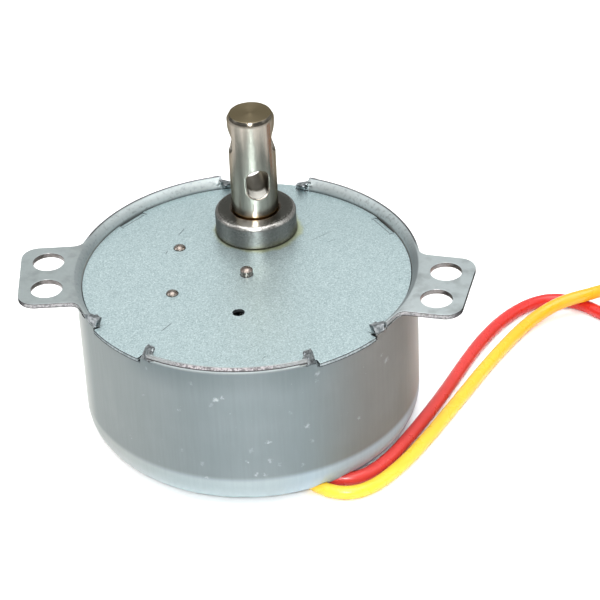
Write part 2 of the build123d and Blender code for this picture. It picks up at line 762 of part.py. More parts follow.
# Every node of the motor
def make_nodes():
    nodes = {}
    can = make_can()
    for route in (placed(yellow_route), placed(red_route)):
        can -= lead_clearance(route)
        can -= bush_block(route, press_gap)
    nodes["can"] = can
    nodes["cover_plate"] = make_cover()
    nodes["output_bushing"] = make_bushing()
    nodes["rotor_axle"] = peened_pin(axle_radius, 0, cover_top, axle_stand, rotor_at)
    for name, centre in (("first_gear_pin", first_at), ("second_gear_pin", second_at)):
        nodes[name] = peened_pin(gear_pin_radius, upper_pole_top, cover_top, gear_pin_stand, centre)
    nodes["lower_pole_plate"] = make_lower_pole()
    nodes["upper_pole_plate"] = make_upper_pole()
    nodes["bobbin"] = make_bobbin()
    winding_low = bobbin_bottom + bobbin_flange
    winding_high = upper_pole_bottom - bobbin_flange
    nodes["stator_winding"] = ring(
        winding_radius, bobbin_core_radius + press_gap, winding_low, winding_high
    )
    tape_radius = winding_radius + tape_thickness
    nodes["winding_tape"] = ring(tape_radius, winding_radius, winding_low, winding_high)
    nodes["gear_plate"] = make_gear_plate()
    nodes["rotor_washer"] = ring(
        rotor_washer_radius, axle_radius + running_gap, lower_pole_top, lower_pole_top + washer_thickness
    )
    washer_top = gear_plate_top + washer_thickness
    washer_bore = gear_pin_radius + running_gap
    for name, centre in (("first_wheel_washer", first_at), ("second_wheel_washer", second_at)):
        nodes[name] = ring(gear_washer_radius, washer_bore, gear_plate_top, washer_top, centre)
    nodes["output_washer"] = ring(
        output_washer_radius, shaft_radius + running_gap,
        bushing_bottom - washer_thickness, bushing_bottom, output_at,
    )
    nodes["rotor_magnet"] = ring(magnet_radius, magnet_bore_radius + press_gap, magnet_bottom, magnet_top)
    nodes["rotor_hub"] = make_rotor_hub()
    nodes["first_wheel"] = make_first_wheel()
    nodes["second_wheel"] = make_second_wheel()
    nodes["output_wheel"] = make_output_wheel()
    nodes["output_shaft"] = make_output_shaft()
    nodes["lead_bush"] = make_bush()
    for colour, route, turn_sign, layer in (
        ("yellow", placed(yellow_route), -1, yellow_layer),
        ("red", placed(red_route), 1, red_layer),
    ):
        tube, free_length = lead_tube(route, lead_radius)
        coil, tip, path = lead_coil(turn_sign, layer)
        section = math.pi * lead_radius**2
        print(colour, "lead radii", [round(r, 1) for r in lead_radii(route)])
        print(colour, "volume over section times length", round(tube.volume / (section * free_length), 4))
        print(colour, "coil's least gap to itself", round(least_gap(path, lead_radius), 3))
        print(colour, "length", round(free_length + path.length + lead_tip_length, 1))
        nodes["lead_" + colour] = tube
        nodes["lead_" + colour + "_coil"] = coil
        nodes["lead_" + colour + "_tip"] = tip
    nodes["coil_tie"] = make_tie()
    return nodes


os.makedirs("parts", exist_ok=True)
for node_name, shape in make_nodes().items():
    export_step(shape, "parts/" + node_name + ".step")
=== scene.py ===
import json
import math

import bpy
from mathutils import Matrix, Vector


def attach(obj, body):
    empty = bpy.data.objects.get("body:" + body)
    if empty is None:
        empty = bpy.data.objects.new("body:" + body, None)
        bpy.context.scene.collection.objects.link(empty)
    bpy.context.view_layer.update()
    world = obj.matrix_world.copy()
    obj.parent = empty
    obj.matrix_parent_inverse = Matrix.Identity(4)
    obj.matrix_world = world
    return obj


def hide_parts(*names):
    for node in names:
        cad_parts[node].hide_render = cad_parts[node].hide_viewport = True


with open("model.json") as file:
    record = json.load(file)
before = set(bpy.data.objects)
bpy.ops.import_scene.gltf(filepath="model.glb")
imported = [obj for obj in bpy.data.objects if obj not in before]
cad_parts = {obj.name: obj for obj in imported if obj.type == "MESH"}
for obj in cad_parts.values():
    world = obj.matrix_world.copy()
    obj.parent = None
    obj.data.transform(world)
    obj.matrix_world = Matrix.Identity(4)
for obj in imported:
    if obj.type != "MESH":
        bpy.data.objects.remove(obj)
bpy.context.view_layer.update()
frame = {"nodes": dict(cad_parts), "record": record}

# looks of a small synchronous gear motor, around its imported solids; sizes are in mm unless a note says so
mm = 0.001
nodes = frame["nodes"]
print("frame loaded,", len(nodes), "nodes")


# camera, at the photograph's viewing angle
cameraSpec = {
    "place": (46.16, -297.97, 226.16),
    "azimuth": 7.359,  # degrees, as the next two
    "elevation": 34.506,
    "roll": -2.721,
    "lens": 148.8,
    "sensor": 36.0,
    "clipStart": 10.0,
}


def addCamera(spec):
    bpy.ops.object.camera_add()
    cam = bpy.context.object
    cam.name = "photoCamera"
    a, e, r = (math.radians(spec[key]) for key in ("azimuth", "elevation", "roll"))
    back = Vector((math.sin(a) * math.cos(e), -math.cos(a) * math.cos(e), math.sin(e)))
    level = Vector((math.cos(a), math.sin(a), 0))
    upright = back.cross(level)
    right = math.cos(r) * level + math.sin(r) * upright
    up = -math.sin(r) * level + math.cos(r) * upright
    turn = Matrix((right, up, back)).transposed().to_4x4()
    cam.matrix_world = Matrix.Translation(Vector(spec["place"]) * mm) @ turn
    cam.data.sensor_width = spec["sensor"]
    cam.data.lens = spec["lens"]
    cam.data.clip_start = spec["clipStart"] * mm
    bpy.context.scene.camera = cam


addCamera(cameraSpec)
print("camera placed")


# small helpers for finishes: every pattern is laid on Object coordinates
def newFinish(name, metallic=0.0):
    finish = bpy.data.materials.new(name)
    finish.use_nodes = True
    shader = finish.node_tree.nodes["Principled BSDF"]
    shader.inputs["Metallic"].default_value = metallic
    return finish, finish.node_tree, shader


def addNode(tree, kind, inputs, **settings):
    node = tree.nodes.new("ShaderNode" + kind)
    for key, value in settings.items():
        setattr(node, key, value)
    for key, value in inputs.items():
        setSocket(tree, node.inputs[key], value)
    return node


def setSocket(tree, socket, value):
    if isinstance(value, bpy.types.NodeSocket):
        tree.links.new(value, socket)
    else:
        socket.default_value = value


def placeOn(tree, stretch=(1, 1, 1), shift=(0, 0, 0), turn=(0, 0, 0)):
    spot = addNode(tree, "TexCoord", {}).outputs["Object"]
    sockets = {"Vector": spot, "Location": shift, "Rotation": turn, "Scale": stretch}
    return addNode(tree, "Mapping", sockets, vector_type="TEXTURE").outputs["Vector"]


def speckle(tree, grain):
    # noise with grains of about the given size
    sockets = {
        "Vector": placeOn(tree, grain.get("stretch", (1, 1, 1))),
        "Scale": 1 / (grain["size"] * mm),
        "Detail": grain["detail"],
    }
    return addNode(tree, "TexNoise", sockets).outputs["Fac"]


def ramp(tree, value, span, shares=(0.0, 1.0)):
    # smoothly from the first share to the second one, across a span of the value
    sockets = {
        "Value": value, "From Min": span[0], "From Max": span[1], "To Min": shares[0], "To Max": shares[1],
    }
    return addNode(tree, "MapRange", sockets, interpolation_type="SMOOTHSTEP").outputs["Result"]


def fade(tree, value, span, shares=(0.0, 1.0), base=0.0):
    # the same across a span of mm, counted from a base
    return ramp(tree, value, [(base + end) * mm for end in span], shares)


def grainMask(tree, grain):
    return ramp(tree, speckle(tree, grain), grain["range"], grain.get("shares", (0.0, 1.0)))


def around(middle, swing):
    return (middle - swing, middle + swing)


def calc(tree, kind, first, second=0.0):
    return addNode(tree, "Math", {0: first, 1: second}, operation=kind).outputs["Value"]


def times(tree, first, second):
    return calc(tree, "MULTIPLY", first, second)


def vectorCalc(tree, kind, inputs, output="Vector"):
    return addNode(tree, "VectorMath", inputs, operation=kind).outputs[output]


def blend(tree, share, first, second):
    mix = tree.nodes.new("ShaderNodeMix")
    mix.data_type = "RGBA"
    wanted = {("Factor", "VALUE"): share, ("A", "RGBA"): first, ("B", "RGBA"): second}
    for socket in mix.inputs:
        if (socket.name, socket.type) in wanted:
            setSocket(tree, socket, wanted[socket.name, socket.type])
    return next(socket for socket in mix.outputs if socket.type == "RGBA")


def axisOf(tree, axis, shift=(0, 0, 0), turn=(0, 0, 0)):
    spot = placeOn(tree, shift=shift, turn=turn)
    return addNode(tree, "SeparateXYZ", {"Vector": spot}).outputs[axis]


def radiusFrom(tree, centre=(0, 0, 0)):
    x, y = axisOf(tree, "X", centre), axisOf(tree, "Y", centre)
    return calc(tree, "SQRT", calc(tree, "ADD", times(tree, x, x), times(tree, y, y)))


def axisPlace(spec):
    return (spec["axis"][0] * mm, spec["axis"][1] * mm, 0)


def scratchMark(tree, mark):
    # a short straight line at a place on a flat face, which fades towards its ends
    spot = placeOn(tree, shift=(mark["x"] * mm, mark["y"] * mm, 0), turn=(0, 0, math.radians(mark["turn"])))
    parts = addNode(tree, "SeparateXYZ", {"Vector": spot})
    along = calc(tree, "ABSOLUTE", parts.outputs["X"])
    across = calc(tree, "ABSOLUTE", parts.outputs["Y"])
    length = fade(tree, along, (mark["length"] / 2, mark["length"] / 3))
    width = fade(tree, across, (mark["width"], 0.0))
    return times(tree, length, width)


def roughen(tree, shader, height, bump):
    sockets = {"Height": height, "Strength": bump["strength"], "Distance": bump["depth"] * mm}
    tree.links.new(addNode(tree, "Bump", sockets).outputs["Normal"], shader.inputs["Normal"])


def finishWith(tree, shader, colour, roughness):
    tree.links.new(colour, shader.inputs["Base Color"])
    tree.links.new(roughness, shader.inputs["Roughness"])


def dullWhere(tree, shader, mask, amount):
    # less of a metal where the mask is
    tree.links.new(calc(tree, "SUBTRACT", 1.0, times(tree, mask, amount)), shader.inputs["Metallic"])


def brushed(shader, amount, edgeTint):
    # fine rings round the piece: reflections are drawn out upright
    quarterTurn = 0.25
    shader.inputs["Anisotropic"].default_value = amount
    shader.inputs["Anisotropic Rotation"].default_value = quarterTurn
    shader.inputs["Specular Tint"].default_value = edgeTint


def spotsAt(tree, points, ragged):
    # irregular marks at places on a surface, each with its own radius
    noiseMiddle = (0.5, 0.5, 0.5)
    spot = placeOn(tree)
    sockets = {"Vector": spot, "Scale": 1 / (ragged["size"] * mm), "Detail": ragged["detail"]}
    noise = addNode(tree, "TexNoise", sockets).outputs["Color"]
    centred = vectorCalc(tree, "SUBTRACT", {0: noise, 1: noiseMiddle})
    moved = vectorCalc(tree, "SCALE", {0: centred, "Scale": ragged["wander"] * mm})
    spot = vectorCalc(tree, "ADD", {0: spot, 1: moved})
    total = None
    for place, size, strength in points:
        away = vectorCalc(tree, "DISTANCE", {0: spot, 1: Vector(place) * mm}, "Value")
        mark = fade(tree, away, (size * ragged["reach"], 0.0), (0.0, strength))
        total = mark if total is None else calc(tree, "MAXIMUM", total, mark)
    return total


def dressFaces(piece, isOne, finish):
    # some faces get a finish of their own, in a further slot
    piece.data.materials.append(finish)
    for face in piece.data.polygons:
        if isOne(face.center / mm, face.normal):
            face.material_index = len(piece.data.materials) - 1


# a copy of a solid, with its corners rounded so that they catch the light
copySpec = {
    "mergeWithin": 0.002,
    "flatWithin": 0.5,  # degrees, as the next one
    "smoothBelow": 35,
    "flatWeight": 100,
}


def roundedCopy(nodeName, pieceName, body, rounding, isSpared=None):
    piece = bpy.data.objects.new(pieceName, nodes[nodeName].data.copy())
    bpy.context.scene.collection.objects.link(piece)
    piece.data.materials.clear()
    bpy.ops.object.select_all(action="DESELECT")
    piece.select_set(True)
    bpy.context.view_layer.objects.active = piece
    bpy.ops.object.mode_set(mode="EDIT")
    bpy.ops.mesh.select_mode(type="EDGE")
    bpy.ops.mesh.select_all(action="SELECT")
    bpy.ops.mesh.remove_doubles(threshold=copySpec["mergeWithin"] * mm)
    bpy.ops.mesh.dissolve_limited(angle_limit=math.radians(copySpec["flatWithin"]))
    bpy.ops.mesh.select_all(action="DESELECT")
    bpy.ops.mesh.edges_select_sharp(sharpness=math.radians(rounding["sharperThan"]))
    bpy.ops.object.mode_set(mode="OBJECT")
    points = piece.data.vertices
    for edge in piece.data.edges:
        first, second = (points[index].co / mm for index in edge.vertices)
        if isSpared and (isSpared(first) or isSpared(second)):
            edge.select = False
    bpy.ops.object.mode_set(mode="EDIT")
    bpy.ops.mesh.bevel(offset=rounding["width"] * mm, segments=rounding["segments"], clamp_overlap=False)
    bpy.ops.object.mode_set(mode="OBJECT")
    bpy.ops.object.shade_smooth_by_angle(angle=math.radians(copySpec["smoothBelow"]))
    even = piece.modifiers.new("evenFlats", "WEIGHTED_NORMAL")  # flat faces stay flat beside their rounds
    even.weight = copySpec["flatWeight"]
    even.keep_sharp = True
    bpy.ops.object.modifier_apply(modifier=even.name)
    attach(piece, body)
    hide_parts(nodeName)
    return piece


# studio, in metres: a pale floor, a soft world that is brighter behind, and four soft lamps
studioSpec = {
    "floorSize": 3.0,
    "floorColour": (0.96, 0.96, 0.96, 1),
    "floorRoughness": 0.9,
    "worldColour": (0.98, 1.0, 1.0, 1),
    "worldStrengths": (0.38, 0.88),  # in front and behind
    "worldReach": (0.1, 0.8),  # from the dark side to the bright one
    "worldTurn": 12.0,  # degrees by which the bright side leans to the right
    "lights": [  # power in watts
        {"name": "topLight", "place": (0.0, 0.0, 0.9), "size": 0.8, "power": 8.5},
        {"name": "frontLight", "place": (0.04, -0.50, 0.44), "size": 0.16, "power": 3.6},
        {"name": "leftLight", "place": (-0.60, 0.0, 0.50), "size": 0.40, "power": 1.1},
        {"name": "rightLight", "place": (0.60, 0.0, 0.50), "size": 0.40, "power": 0.7},
    ],
    "target": (0.005, 0.0, 0.015),  # where the lamps point
}


def floorPaint(spec):
    paint, _, shader = newFinish("floorPaint")
    shader.inputs["Base Color"].default_value = spec["floorColour"]
    shader.inputs["Roughness"].default_value = spec["floorRoughness"]
    return paint


def addWorld(spec):
    world = bpy.context.scene.world or bpy.data.worlds.new("studioWorld")
    bpy.context.scene.world = world
    world.use_nodes = True
    tree = world.node_tree
    direction = addNode(tree, "TexCoord", {}).outputs["Generated"]
    lean = math.radians(spec["worldTurn"])
    back = (math.sin(lean), math.cos(lean), 0)
    depth = vectorCalc(tree, "DOT_PRODUCT", {0: direction, 1: back}, "Value")
    strength = ramp(tree, depth, spec["worldReach"], spec["worldStrengths"])
    tree.nodes["Background"].inputs["Color"].default_value = spec["worldColour"]
    tree.links.new(strength, tree.nodes["Background"].inputs["Strength"])


def addStudio(spec):
    bpy.ops.mesh.primitive_plane_add(size=spec["floorSize"])
    floor = bpy.context.object
    floor.name = "studioFloor"
    floor.data.materials.append(floorPaint(spec))
    for light in spec["lights"]:
        place = Vector(light["place"])
        bpy.ops.object.light_add(type="AREA", location=place)
        lamp = bpy.context.object
        lamp.name = light["name"]
        lamp.data.size = light["size"]
        lamp.data.energy = light["power"]
        lamp.rotation_euler = (Vector(spec["target"]) - place).to_track_quat("-Z", "Y").to_euler()
    addWorld(spec)
    bpy.context.scene.view_settings.view_transform = "Standard"


addStudio(studioSpec)
print("studio lit")


# leads: the same route points as the solids, then the turns of the put-away coil
leadSpec = {
    "radius": 1.0,
    "length": 206.8,
    "coilCentre": (74.5, 25.0),
    "coilRadius": 12.2,
    "coilStep": 1.25,
    "halfTurns": 3,
    "pointsPerHalfTurn": 8,
    "innerRadius": 6.0,
    "innerAngle": 60.0,
    "innerPoints": 3,
    "endStraight": 2.0,
    "splineOrder": 3,
    "stepsPerPoint": 8,
    "tubeSteps": 6,
}
yellowLeadSpec = {
    "name": "yellowLead",
    "replaces": ("lead_yellow", "lead_yellow_coil"),
    "slot": "lead_yellow_vinyl",
    "tip": "lead_yellow_tip",
    "layer": 3.55,
    "turnSign": -1,
    "route": [
        (10.3, -19.2, 1.0), (12.4, -20.8, 1.0), (15.0, -21.6, 1.0), (17.6, -21.2, 1.0), (19.9, -19.5, 1.0),
        (22.0, -16.8, 1.0), (24.4, -12.8, 1.0), (26.8, -7.8, 1.0), (29.2, -2.4, 1.0), (31.6, 3.2, 1.0),
        (34.1, 9.1, 1.0), (36.7, 14.7, 1.0), (39.4, 19.8, 1.1), (42.4, 23.6, 1.7), (46.0, 25.9, 2.7),
        (49.8, 26.9, 3.4), (53.1, 28.8, 3.3), (56.4, 31.3, 3.0), (59.7, 33.5, 2.9), (62.9, 35.3, 3.2),
        (66.2, 36.6, 3.45), (69.4, 37.2, 3.55), (72.5, 37.2, 3.55),
    ],
}
redLeadSpec = {
    "name": "redLead",
    "replaces": ("lead_red", "lead_red_coil"),
    "slot": "lead_red_vinyl",
    "tip": "lead_red_tip",
    "layer": 1.4,
    "turnSign": 1,
    "route": [
        (12.6, -18.1, 1.0), (15.2, -18.5, 1.0), (17.8, -17.7, 1.0), (19.9, -15.5, 1.0), (21.6, -12.9, 1.0),
        (23.1, -9.9, 1.0), (24.9, -5.9, 1.0), (27.1, -0.7, 1.0), (29.3, 5.2, 1.0), (31.5, 11.6, 1.0),
        (33.8, 17.4, 1.0), (36.4, 22.3, 1.0), (39.4, 26.1, 1.0), (42.8, 28.6, 1.0), (46.3, 28.9, 1.0),
        (49.4, 27.5, 1.0), (52.3, 25.3, 1.0), (54.9, 22.6, 1.0), (57.3, 19.7, 1.0), (59.9, 17.0, 1.0),
        (62.8, 14.8, 1.1), (66.1, 13.3, 1.25), (69.4, 12.8, 1.4), (72.5, 12.8, 1.4),
    ],
}


def turnPoints(centre, radius, startAngle, sweep, count):
    # control points stand outside the turn, so that the spline between them runs on it
    step = sweep / count
    outer = radius / math.cos(math.radians(step / 2))
    angles = [math.radians(startAngle + step * (i + 0.5)) for i in range(count)]
    return [(centre[0] + outer * math.cos(a), centre[1] + outer * math.sin(a)) for a in angles]


def coilPoints(spec, turnSign, layer):
    points = []
    angle = -90.0 * turnSign
    radius = spec["coilRadius"]
    cx, cy = spec["coilCentre"]
    for _ in range(spec["halfTurns"]):
        points += turnPoints((cx, cy), radius, angle, 180.0 * turnSign, spec["pointsPerHalfTurn"])
        angle += 180.0 * turnSign
        cy += math.sin(math.radians(angle)) * spec["coilStep"]
        radius -= spec["coilStep"]
    cy += math.sin(math.radians(angle)) * (radius - spec["innerRadius"])
    sweep = spec["innerAngle"] * turnSign
    points += turnPoints((cx, cy), spec["innerRadius"], angle, sweep, spec["innerPoints"])
    end = math.radians(angle + sweep)
    heading = (-math.sin(end) * turnSign, math.cos(end) * turnSign)
    arcEnd = (cx + spec["innerRadius"] * math.cos(end), cy + spec["innerRadius"] * math.sin(end))
    points.append(tuple(p + h * spec["endStraight"] for p, h in zip(arcEnd, heading)))
    return [(x, y, layer) for x, y in points]


def addLead(spec, shared, material):
    points = spec["route"] + coilPoints(shared, spec["turnSign"], spec["layer"])
    curve = bpy.data.curves.new(spec["name"], "CURVE")
    curve.dimensions = "3D"
    spline = curve.splines.new("NURBS")
    spline.points.add(len(points) - 1)
    for point, place in zip(spline.points, points):
        point.co = (*(Vector(place) * mm), 1)
    spline.order_u = shared["splineOrder"]
    spline.use_endpoint_u = True
    curve.resolution_u = shared["stepsPerPoint"]
    curve.bevel_depth = shared["radius"] * mm
    curve.bevel_resolution = shared["tubeSteps"]
    curve.use_fill_caps = True
    lead = bpy.data.objects.new(spec["name"], curve)
    bpy.context.scene.collection.objects.link(lead)
    curve.materials.append(material)
    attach(lead, "motor_body")
    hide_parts(*spec["replaces"])


vinylSpec = {
    "cloud": {"size": 3.0, "detail": 3},
    "cloudRange": (0.3, 0.7),
    "roughness": (0.24, 0.34),
    "dimples": {"size": 0.6, "detail": 2},
    "bump": {"strength": 0.05, "depth": 0.05},
}
vinylColours = {
    "yellowVinyl": {
        "colour": (0.86, 0.565, 0.05, 1), "other": (0.83, 0.525, 0.037, 1),
        "far": (0.76, 0.325, 0.008, 1), "fade": (24, 46),  # painted shade: the vinyl darkens and deepens along the lead
    },
    "redVinyl": {
        "colour": (0.625, 0.05, 0.042, 1), "other": (0.55, 0.039, 0.033, 1),
        "far": (0.49, 0.0155, 0.012, 1), "fade": (22, 45),
    },
}


def glossyVinyl(name, spec):
    colours = vinylColours[name]
    finish, tree, shader = newFinish(name)
    cloudy = speckle(tree, spec["cloud"])
    colour = blend(tree, ramp(tree, cloudy, spec["cloudRange"]), colours["colour"], colours["other"])
    # painted shade towards the far end of the lead
    colour = blend(tree, fade(tree, axisOf(tree, "X"), colours["fade"]), colour, colours["far"])
    finishWith(tree, shader, colour, ramp(tree, cloudy, spec["cloudRange"], spec["roughness"]))
    roughen(tree, shader, speckle(tree, spec["dimples"]), spec["bump"])
    return finish


addLead(yellowLeadSpec, leadSpec, glossyVinyl("yellowVinyl", vinylSpec))
addLead(redLeadSpec, leadSpec, glossyVinyl("redVinyl", vinylSpec))
print("leads laid")


# can: satin drawn steel with small scuffs and a bright sheared lip; painted reflection makes the wall lighter
# on the left, darker on the right and the corner round paler, painted light and shade shape the ears and the
# lip, and painted shade darkens the wall under the lip and the bent rim ends
canSpec = {
    "rounding": {"width": 0.1, "segments": 2, "sharperThan": 40},
    "wall": (0.209, 0.246, 0.255, 1),
    # painted reflection: the wall is lighter on the left and at its far left edge, darker and browner on the
    # right, and lighter near its right edge
    "wallLeft": (0.277, 0.303, 0.300, 1),
    "wallRightReflection": (0.20, 0.192, 0.18, 1),
    "wallEdgeReflection": (0.44, 0.44, 0.425, 1),
    "wallLeftEdgeReflection": (0.62, 0.615, 0.59, 1),
    # painted shade: the wall is darker just under the lip
    "wallShadeUnderLip": (0.18, 0.214, 0.222, 1),
    "wallFades": {
        "left": (-1, -21), "right": (10, 21), "leftEdge": (-21, -25),
        "edgeAcross": (18, 22), "edgeDepth": (-10, 2), "highUp": (19.5, 23.5), "highAcross": (17, 9),
    },
    # painted reflection of the floor: the corner round is paler, warmer on the left and bluer on the right
    "corner": (0.475, 0.55, 0.57, 1),
    "cornerLeft": (0.53, 0.54, 0.527, 1),
    "cornerRight": (0.51, 0.625, 0.735, 1),
    "cornerTop": 5.8,  # above the base
    "cornerFades": {
        "left": (-6, -21), "right": (5, 15), "up": (0.2, -0.9), "down": (4.6, 1.2), "shares": (0.6, 1.0),
    },
    "ear": (0.425, 0.468, 0.468, 1),
    # painted light: the right ear is lighter than the left
    "earRightLit": (0.515, 0.564, 0.569, 1),
    "earDull": (0.30, 0.325, 0.325, 1),
    "earPatches": {"size": 2.2, "detail": 6, "range": (0.42, 0.72), "shares": (0.0, 0.6)},
    "earLow": 23.9,
    "earRise": (0.0, 0.5),
    "leftToRight": (-10, 20),
    # painted highlight and shade: the lip is lighter round the back than at the sides, and darkest on the
    # right
    "lip": (0.56, 0.615, 0.62, 1),
    "lipBack": (0.41, 0.445, 0.445, 1),
    "lipSide": (0.35, 0.385, 0.39, 1),
    "lipRight": (0.25, 0.275, 0.28, 1),
    "lipLine": (0.10, 0.10, 0.105, 1),
    "lipGrain": {"size": 0.5, "detail": 5, "range": (0.5, 0.7), "shares": (0.0, 0.5)},
    "lipRadius": 25.1,
    "lipFades": {
        "in": (0.15, -0.1), "line": (0.05, 0.2), "lineDepth": (5, 8), "depth": (3, 13), "back": (18, 23),
    },
    "drawLines": {"size": 0.45, "detail": 3, "stretch": (1, 1, 16)},
    "drawRange": (0.3, 0.7),
    "drawShares": (0.0, 0.03),
    "drawColour": (0.12, 0.13, 0.14, 1),
    "drawBump": {"strength": 0.008, "depth": 0.02},
    "cloud": {"size": 8.0, "detail": 3, "range": (0.4, 0.75), "shares": (0.0, 0.06)},
    "cloudColour": (0.5, 0.52, 0.54, 1),
    "scuff": (0.50, 0.54, 0.55, 1),
    "scuffEdge": {"size": 0.5, "detail": 2.0, "wander": 1.3, "reach": 1.15},
    "dust": {"size": 0.35, "detail": 3, "range": (0.72, 0.76)},
    "dustPatches": {"size": 5.0, "detail": 2, "range": (0.5, 0.62)},
    "dustShare": 0.5,
    "edgeTint": (0.80, 0.82, 0.82, 1),
    "wallRadius": 25.0,
    "roughness": 0.62,
    "roughSwing": 0.02,
    "roughRange": (0.2, 0.8),
    "brush": 0.5,
    "sheared": {
        "light": (0.46, 0.43, 0.44, 1), "dark": (0.17, 0.16, 0.165, 1), "line": (0.07, 0.068, 0.07, 1),
        "smooth": (0.27, 0.285, 0.285, 1),
        "smoothFrom": (5.0, 9.0), "smoothFromShares": (0.0, 0.9),  # from the middle plane
        "smoothTo": (24.0, 22.0), "smoothToShares": (0.5, 1.0),
        "earEnd": (30.2, 31.4), "earEndShares": (0.0, 0.9),
        "grain": 0.32, "low": 24.95, "high": 25.7, "lineWidth": 0.17,
    },
    "holeWall": {
        "colour": (0.20, 0.185, 0.18, 1), "other": (0.12, 0.11, 0.105, 1), "metallic": 1.0,
        "roughness": 0.35, "grain": 0.9,
    },
    # partly painted shade: the bent rim ends are dark, with a lighter grain
    "bent": {
        "colour": (0.10, 0.112, 0.118, 1), "other": (0.34, 0.36, 0.37, 1), "metallic": 1.0,
        "roughness": 0.32, "grain": 0.55, "bump": 0.5,
    },
    "earBearings": (-8.0, 188.0),
    "holeReach": 29.0,  # from the axis to the middle of an ear's holes
    "holePitch": 7.0,
    "holeRadius": 2.3,
    "holeMargin": 0.12,
    "gapBearings": (90.0, 228.0, 312.0),
    "bentFrom": 11.9,  # degrees from the middle of a gap in the rim
    "bentTo": 16.2,
    "sparedBefore": 0.5,  # degrees, as the next one
    "sparedPast": 1.6,
    "sparedBelow": 1.2,
    "rimLow": 24.02,
    "sheetLow": 24.95,
    "lipMargin": 0.1,
    "lipUpright": 0.9,  # a face is upright where its normal rises less than this
    "holeUpright": 0.5,
    "scuffs": [  # bearing in degrees, height, radius, strength
        (-93.6, 19.6, 0.42, 0.9), (-92.4, 19.9, 0.22, 0.7), (-91.5, 20.1, 0.26, 0.8),
        (-95.2, 18.6, 0.35, 0.3), (-106.3, 16.9, 0.35, 0.4), (-101.6, 22.0, 0.4, 0.25),
        (-119.7, 17.8, 0.35, 0.35), (-117.8, 22.5, 0.35, 0.3), (-127.3, 8.6, 0.2, 0.5),
        (-84.6, 8.8, 0.3, 1.0), (-98.7, 5.5, 0.28, 0.9),
        (-83.4, 10.8, 0.5, 0.3), (-99.8, 8.0, 0.4, 0.25), (-106.5, 9.8, 0.35, 0.25), (-64.4, 13.6, 0.5, 0.55),
        (-77.7, 12.0, 0.4, 0.75), (-82.1, 6.4, 0.45, 0.7), (-79.5, 6.2, 0.4, 0.5), (-77.4, 8.7, 0.35, 0.45),
        (-60.5, 22.3, 0.4, 0.45), (-60.2, 21.1, 0.3, 0.4), (-31.4, 18.6, 0.7, 0.35), (-34.0, 20.1, 0.35, 0.3),
        (-45.0, 11.7, 0.35, 0.3), (-63.1, 10.8, 0.4, 0.3), (-74.4, 7.8, 0.35, 0.35), (-66.6, 7.0, 0.35, 0.3),
        (-69.8, 16.6, 0.3, 0.2),
    ],
}


def onWall(spec, bearing, height):
    turn = math.radians(bearing)
    return (spec["wallRadius"] * math.cos(turn), spec["wallRadius"] * math.sin(turn), height)


def wallColour(tree, spec, across, depth, height):
    fades = spec["wallFades"]
    # painted reflection: lighter on the left and near both edges, darker and browner on the right
    wall = blend(tree, fade(tree, across, fades["left"]), spec["wall"], spec["wallLeft"])
    wall = blend(tree, fade(tree, across, fades["right"]), wall, spec["wallRightReflection"])
    edge = times(tree, fade(tree, across, fades["edgeAcross"]), fade(tree, depth, fades["edgeDepth"]))
    wall = blend(tree, edge, wall, spec["wallEdgeReflection"])
    wall = blend(tree, fade(tree, across, fades["leftEdge"]), wall, spec["wallLeftEdgeReflection"])
    # painted shade under the lip
    middle = fade(tree, calc(tree, "ABSOLUTE", across), fades["highAcross"])
    high = times(tree, fade(tree, height, fades["highUp"]), middle)
    return blend(tree, high, wall, spec["wallShadeUnderLip"])


def cornerOver(tree, spec, wall, across, height):
    fades = spec["cornerFades"]
    # painted reflection of the floor on the corner round
    low = blend(tree, fade(tree, across, fades["left"]), spec["corner"], spec["cornerLeft"])
    low = blend(tree, fade(tree, across, fades["right"]), low, spec["cornerRight"])
    below = fade(tree, height, fades["up"], base=spec["cornerTop"])
    share = times(tree, below, fade(tree, height, fades["down"], fades["shares"]))
    return blend(tree, share, wall, low)


def rimOver(tree, spec, colour, across, depth, height):
    # the ears are patchy and carry painted light, lighter on the right; the lip carries painted highlight and
    # shade, lighter round the back and darker at the sides; and a dark line runs round the back of the lip
    fades = spec["lipFades"]
    toRight = fade(tree, across, spec["leftToRight"])
    flat = blend(tree, toRight, spec["ear"], spec["earRightLit"])
    flat = blend(tree, grainMask(tree, spec["earPatches"]), flat, spec["earDull"])
    side = blend(tree, toRight, spec["lipSide"], spec["lipRight"])
    lip = blend(tree, fade(tree, depth, fades["depth"]), side, spec["lip"])
    lip = blend(tree, fade(tree, depth, fades["back"]), lip, spec["lipBack"])
    lip = blend(tree, grainMask(tree, spec["lipGrain"]), lip, spec["lipRight"])
    out = radiusFrom(tree)
    inside = fade(tree, out, fades["in"], base=spec["lipRadius"])
    above = fade(tree, height, spec["earRise"], base=spec["earLow"])
    colour = blend(tree, above, colour, blend(tree, inside, flat, lip))
    line = times(
        tree, fade(tree, out, fades["line"], base=spec["lipRadius"]), fade(tree, depth, fades["lineDepth"])
    )
    return blend(tree, times(tree, line, above), colour, spec["lipLine"])


